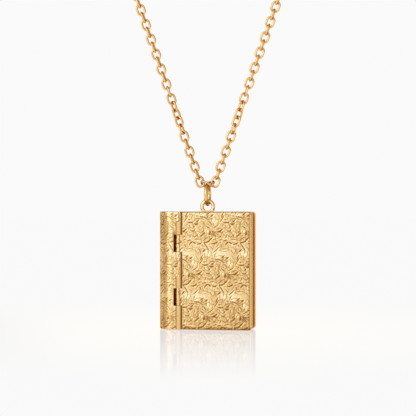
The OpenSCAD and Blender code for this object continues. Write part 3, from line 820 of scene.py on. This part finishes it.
def torus(centre, radius, wire, around, sides, plane="xz", flat=0.0):
    """Points and faces of a round ring; its wire is wider along the ring's axis by flat."""
    verts = []
    for a in np.arange(around) * 2 * math.pi / around:
        for b in np.arange(sides) * 2 * math.pi / sides:
            r = radius + wire / 2 * math.cos(b)
            p, q, w = r * math.cos(a), r * math.sin(a), (wire + flat) / 2 * math.sin(b)
            verts.append((p, w, q) if plane == "xz" else (w, p, q))
    return np.array(verts) + centre, grid_faces(around, sides, close_rows=True, close_cols=True)


def make_jump_ring():
    """The plain round ring between the eye and the chain."""
    middle = (0, 0, RING_Z)
    shape = torus(middle, RING_R, RING_WIRE, around=120, sides=24, plane="yz", flat=RING_FLAT)
    return new_object("ring_wire", *shape)


def make_clasp():
    """The plain clasp: a large ring with a small loop at each end."""
    mid = (clasp_low + clasp_high) / 2
    wire = clasp_high[1] - clasp_low[1]
    outer = (clasp_high[2] - clasp_low[2]) / 2
    loop_r = CLASP_LOOP_R - CLASP_LOOP_WIRE / 2
    parts = [torus(mid, outer - wire / 2, wire, around=96, sides=20)]
    for side in (-1, 1):
        at = mid + (side * ((clasp_high[0] - clasp_low[0]) / 2 - CLASP_LOOP_R), 0, 0)
        parts.append(torus(at, loop_r, CLASP_LOOP_WIRE, around=48, sides=14))
    return new_object("clasp_ring", *gathered(parts))


# Colours of the metal, as linear red, green and blue
CASE_COLOUR = (0.95, 0.66, 0.30)
ENGRAVED_COLOUR = (0.90, 0.60, 0.25)
WIRE_COLOUR = (0.93, 0.60, 0.23)
# Painted highlight on crests, and the patina and painted shade at the bottom of a cut
CREST_HIGHLIGHT = (1.0, 0.87, 0.54)
CUT_PATINA_AND_SHADE = (0.24, 0.08, 0.012)
# Painted shade in the corners of the case and of the wires, the eye's painted highlight, and the unlit
# inside of the spine
CASE_CORNER_SHADE = (0.60, 0.21, 0.018)
WIRE_CORNER_SHADE = (0.55, 0.22, 0.035)
EYE_HIGHLIGHT = (1.0, 0.80, 0.46)
UNLIT_COLOUR = (0.42, 0.08, 0.008)
# How far the painted shade in corners reaches on the case and the wires, in millimetres, and how strong
# it is at most
CASE_REACH, WIRE_REACH = 2.4, 0.6
CORNER_SHADE_SHARE = 0.85
# How open a place still is where the painted corner shade starts, and where it is darkest
CORNER_FROM, CORNER_FULL = 0.9, 0.45
# The tone at which a cut's patina and painted shade is darkest, and how much of its colour it then has
DARKEST_TONE = -1.2
CUT_SHARE = 0.95
# Radius of the spine's unlit inside, and half the width over which it begins
HOLLOW_R, HOLLOW_EDGE = 2.5, 0.05
# The metal's cloudiness: its fineness, and how light its darker places are
CLOUD_SCALE = 900
CLOUD_SHADE = 0.93
# The metal's wear: its fineness, depth in metres and strength, and what shares of the roughness it gives
WEAR_SCALE = 5200
WEAR_DEPTH = 0.00002
WEAR_STRENGTH = 0.12
WEAR_LEAST, WEAR_MOST = 0.7, 1.4


def node_of(tree, kind, **values):
    """A new shader node of a kind, with these properties."""
    made = tree.nodes.new("ShaderNode" + kind)
    for key, value in values.items():
        setattr(made, key, value)
    return made


def put(tree, socket, value):
    """Sets an input to a number or a colour, or links it to another node's output."""
    if isinstance(value, bpy.types.NodeSocket):
        tree.links.new(value, socket)
    else:
        socket.default_value = (*value, 1) if isinstance(value, tuple) else value


def feed(tree, node, **values):
    """Sets a node's inputs by their names, with _ for a space."""
    for key, value in values.items():
        put(tree, node.inputs[key.replace("_", " ")], value)


def mixed(tree, factor, a, b):
    """A colour from a to b by factor."""
    mix = node_of(tree, "Mix", data_type="RGBA")
    feed(tree, mix, Factor=factor, A=a, B=b)
    return mix.outputs["Result"]


def carried(tree, value, low, high, new_low, new_high, smooth=False):
    """A value carried over from the range low to high to a new one, and held at its ends."""
    ramp = node_of(tree, "MapRange", interpolation_type="SMOOTHSTEP" if smooth else "LINEAR")
    feed(tree, ramp, Value=value, From_Min=low, From_Max=high, To_Min=new_low, To_Max=new_high)
    return ramp.outputs["Result"]


def worked_out(tree, operation, *values):
    """The result of a Math node on these values."""
    made = node_of(tree, "Math", operation=operation)
    for socket, value in zip(made.inputs, values):
        put(tree, socket, value)
    return made.outputs["Value"]


def vector_result(tree, operation, source, other, output="Value"):
    """The result of a Vector Math node on another node's output and a fixed vector."""
    made = node_of(tree, "VectorMath", operation=operation)
    tree.links.new(source, made.inputs[0])
    made.inputs[1].default_value = other
    return made.outputs[output]


def mixed_shaders(tree, factor, a, b):
    """A shader from a to b by factor."""
    both = node_of(tree, "MixShader")
    for socket, value in zip(both.inputs, (factor, a, b)):
        put(tree, socket, value)
    return both.outputs["Shader"]


def noise(tree, place, scale, detail):
    """Noise at a place, from 0 to 1."""
    made = node_of(tree, "TexNoise")
    feed(tree, made, Vector=place, Scale=scale, Detail=detail)
    return made.outputs["Fac"]


def painted_corner_shade(tree, metal, corner, reach, share):
    """Metal with painted shade in its corners: it goes toward another colour within reach in
    millimetres, by share at most.
    """
    openness = node_of(tree, "AmbientOcclusion", samples=6)
    feed(tree, openness, Distance=reach * MM)
    closed = carried(tree, openness.outputs["AO"], CORNER_FROM, CORNER_FULL, 0.0, share)
    return mixed(tree, closed, metal, corner)


def engraved_skin(tree, place, metal):
    """Engraved gold goes by the tone kept at each point, from a cut's patina and painted shade to a
    crest's painted highlight.
    """
    tone = node_of(tree, "Attribute", attribute_name="tone").outputs["Fac"]
    bright = mixed(tree, tone, metal, CREST_HIGHLIGHT)
    return mixed(tree, carried(tree, tone, 0.0, DARKEST_TONE, 0.0, CUT_SHARE), bright, CUT_PATINA_AND_SHADE)


def wire_skin(tree, place, metal):
    """Plain wire gets painted shade where it meets its neighbours."""
    return painted_corner_shade(tree, metal, WIRE_CORNER_SHADE, WIRE_REACH, CORNER_SHADE_SHARE)


def case_skin(tree, place, metal):
    """The case gets painted shade in its corners. Its eye, above the top, is painted paler, a painted
    highlight. The spine's inside is unlit.
    """
    split = node_of(tree, "SeparateXYZ")
    feed(tree, split, Vector=place)
    height = split.outputs["Z"]
    # Above the top the eye is painted paler, a painted highlight, and gets no painted corner shade
    eye_foot, case_head = (TOP_Z + 0.1) * MM, (TOP_Z - 0.3) * MM
    below = carried(tree, height, eye_foot, case_head, 0.0, CORNER_SHADE_SHARE)
    skin = painted_corner_shade(tree, mixed(tree, below, EYE_HIGHLIGHT, metal), CASE_CORNER_SHADE, CASE_REACH, below)

    seen_from_above = vector_result(tree, "MULTIPLY", place, (1, 1, 0), "Vector")
    away = vector_result(tree, "DISTANCE", seen_from_above, (SPINE_X * MM, 0, 0))
    within = carried(tree, away, (HOLLOW_R + HOLLOW_EDGE) * MM, (HOLLOW_R - HOLLOW_EDGE) * MM, 0.0, 1.0)
    half_inside = (TOP_Z - BOTTOM_Z) / 2 - SHEET
    between_ends = worked_out(tree, "COMPARE", height, MID_Z * MM, half_inside * MM)
    return mixed(tree, worked_out(tree, "MULTIPLY", within, between_ends), skin, UNLIT_COLOUR)


def gold(name, colour, roughness, skin):
    """Polished yellow gold with fine wear. skin is the function that colours the bare metal."""
    mat = bpy.data.materials.new(name)
    mat.use_nodes = True
    tree = mat.node_tree
    shader = tree.nodes["Principled BSDF"]
    shader.inputs["Metallic"].default_value = 1.0
    shader.inputs["Specular Tint"].default_value = (*colour, 1)
    place = node_of(tree, "TexCoord").outputs["Object"]
    clouded = tuple(c * CLOUD_SHADE for c in colour)
    metal = mixed(tree, noise(tree, place, CLOUD_SCALE, 4), clouded, colour)
    wear = noise(tree, place, WEAR_SCALE, 3)
    bump = node_of(tree, "Bump")
    feed(tree, bump, Strength=WEAR_STRENGTH, Distance=WEAR_DEPTH, Height=wear)
    feed(tree, shader, Base_Color=skin(tree, place, metal), Normal=bump.outputs["Normal"],
         Roughness=carried(tree, wear, 0.0, 1.0, roughness * WEAR_LEAST, roughness * WEAR_MOST))
    return mat


def set_material(obj, mat):
    """Gives a piece or a CAD node one material."""
    obj.data.materials.clear()
    obj.data.materials.append(mat)


def make_stage():
    """A plain pale floor just under the locket, faintly glossy near it."""
    gap = 0.1
    z = BOTTOM_Z - gap
    size = 3000
    # How far the gloss reaches, in metres, and its share under the locket
    gloss_reach, gloss_share = 0.07, 0.36
    corners = [(-size, -size, z), (size, -size, z), (size, size, z), (-size, size, z)]
    floor = new_object("floor", corners, [(0, 1, 2, 3)], smooth=False)
    mat = bpy.data.materials.new("pale_floor")
    mat.use_nodes = True
    tree = mat.node_tree
    tree.nodes.clear()
    glow = node_of(tree, "Emission")
    feed(tree, glow, Color=(0.95, 0.95, 0.95))
    gloss = node_of(tree, "BsdfGlossy")
    feed(tree, gloss, Roughness=0.05, Color=(1, 0.95, 0.86))
    place = node_of(tree, "NewGeometry").outputs["Position"]
    span = vector_result(tree, "DISTANCE", place, (0, 0, z * MM))
    share = carried(tree, span, 0.0, gloss_reach, gloss_share, 0.0)
    out = node_of(tree, "OutputMaterial")
    feed(tree, out, Surface=mixed_shaders(tree, share, glow.outputs["Emission"], gloss.outputs["BSDF"]))
    set_material(floor, mat)


def placed(name, data, place, target):
    """A lamp or camera at a place, facing a target, in metres."""
    made = bpy.data.objects.new(name, data)
    bpy.context.scene.collection.objects.link(made)
    made.location = place
    made.rotation_euler = (target - place).to_track_quat("-Z", "Y").to_euler()
    return made


def make_lamp():
    """A soft lamp at the front left, facing the locket's middle."""
    place, target = Vector((-0.30, -0.34, -0.02)), Vector((0, 0, MID_Z * MM))
    data = bpy.data.lights.new("key", "AREA")
    data.shape = "RECTANGLE"
    data.size, data.size_y = 0.2, 0.25
    data.energy = 0.35
    placed("key", data, place, target)


def make_light():
    """A studio that is bright from the front left and above, dim on the right, and pale behind. Its dim
    sides are warm, and the camera sees it as a plain pale backdrop."""
    world = bpy.data.worlds.new("studio")
    bpy.context.scene.world = world
    world.use_nodes = True
    tree = world.node_tree
    place = node_of(tree, "TexCoord").outputs["Generated"]

    def toward(direction, far, near, dim, bright):
        """Brightness by how near a direction is to the given one, from dim at far to bright at near."""
        nearness = vector_result(tree, "DOT_PRODUCT", place, Vector(direction).normalized())
        return carried(tree, nearness, far, near, dim, bright, smooth=True)

    key = toward((-0.46, -0.78, 0.42), far=0.4, near=1.05, dim=0.3, bright=1.15)
    right = toward((0.85, -0.5, 0.1), far=0.5, near=1.0, dim=0.0, bright=0.35)
    back = toward((0.0, 1.0, 0.0), far=0.90, near=0.96, dim=0.0, bright=0.8)
    light = worked_out(tree, "ADD", worked_out(tree, "ADD", key, right), back)
    # The strength up to which the light is warm, and from which it is white
    warm, white = 0.3, 0.8
    whiteness = carried(tree, light, warm, white, 0.0, 1.0, smooth=True)
    hue = mixed(tree, whiteness, (1.0, 0.70, 0.40), (1, 1, 1))
    background = tree.nodes["Background"]
    feed(tree, background, Strength=light, Color=hue)
    seen = node_of(tree, "Background")
    feed(tree, seen, Strength=0.955, Color=(1, 1, 1))
    by_camera = node_of(tree, "LightPath").outputs["Is Camera Ray"]
    both = mixed_shaders(tree, by_camera, background.outputs["Background"], seen.outputs["Background"])
    feed(tree, tree.nodes["World Output"], Surface=both)
    view = bpy.context.scene.view_settings
    view.view_transform = "Standard"
    view.look = "None"


def make_camera():
    """The photograph's view: level, and 10 degrees to the right of square on."""
    azimuth = math.radians(10)
    distance = 0.237
    # The middle of the picture: right of the locket's middle and above its top, in millimetres
    aim_x, aim_rise = 0.066, 0.68
    aim = Vector((aim_x * MM, 0, (TOP_Z + aim_rise) * MM))
    data = bpy.data.cameras.new("camera")
    data.lens = 109.1
    data.sensor_width = 36
    data.clip_start = 0.01
    place = aim + Vector((math.sin(azimuth), -math.cos(azimuth), 0)) * distance
    bpy.context.scene.camera = placed("camera", data, place, aim)


case_gold = gold("case_gold", CASE_COLOUR, 0.25, case_skin)
engraved_gold = gold("engraved_gold", ENGRAVED_COLOUR, 0.22, engraved_skin)
wire_gold = gold("wire_gold", WIRE_COLOUR, 0.24, wire_skin)
chain_gold = gold("chain_gold", WIRE_COLOUR, 0.24, wire_skin)

make_camera()

cover = toned_object("cover_board", [make_cover()] + [make_tab(z) for z in TAB_Z])
set_material(cover, engraved_gold)
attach(cover, "cover")
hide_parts("front_cover")

spine = toned_object("spine_skin", [make_spine()])
set_material(spine, engraved_gold)
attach(spine, "locket")

front_chain = make_links("front_links", front_places(), around=40, sides=12, thin=1)
set_material(front_chain, chain_gold)
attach(front_chain, "chain")
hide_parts("chain_front")

back_chain = make_links("back_links", back_places(), around=28, sides=8)
set_material(back_chain, chain_gold)
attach(back_chain, "chain")
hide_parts("chain_back")

ring = make_jump_ring()
set_material(ring, wire_gold)
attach(ring, "ring")
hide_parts("jump_ring")

clasp = make_clasp()
set_material(clasp, wire_gold)
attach(clasp, "chain")
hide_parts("clasp")

set_material(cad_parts["back_case"], case_gold)
set_material(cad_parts["hinge_pin"], wire_gold)

make_stage()
make_light()
make_lamp()
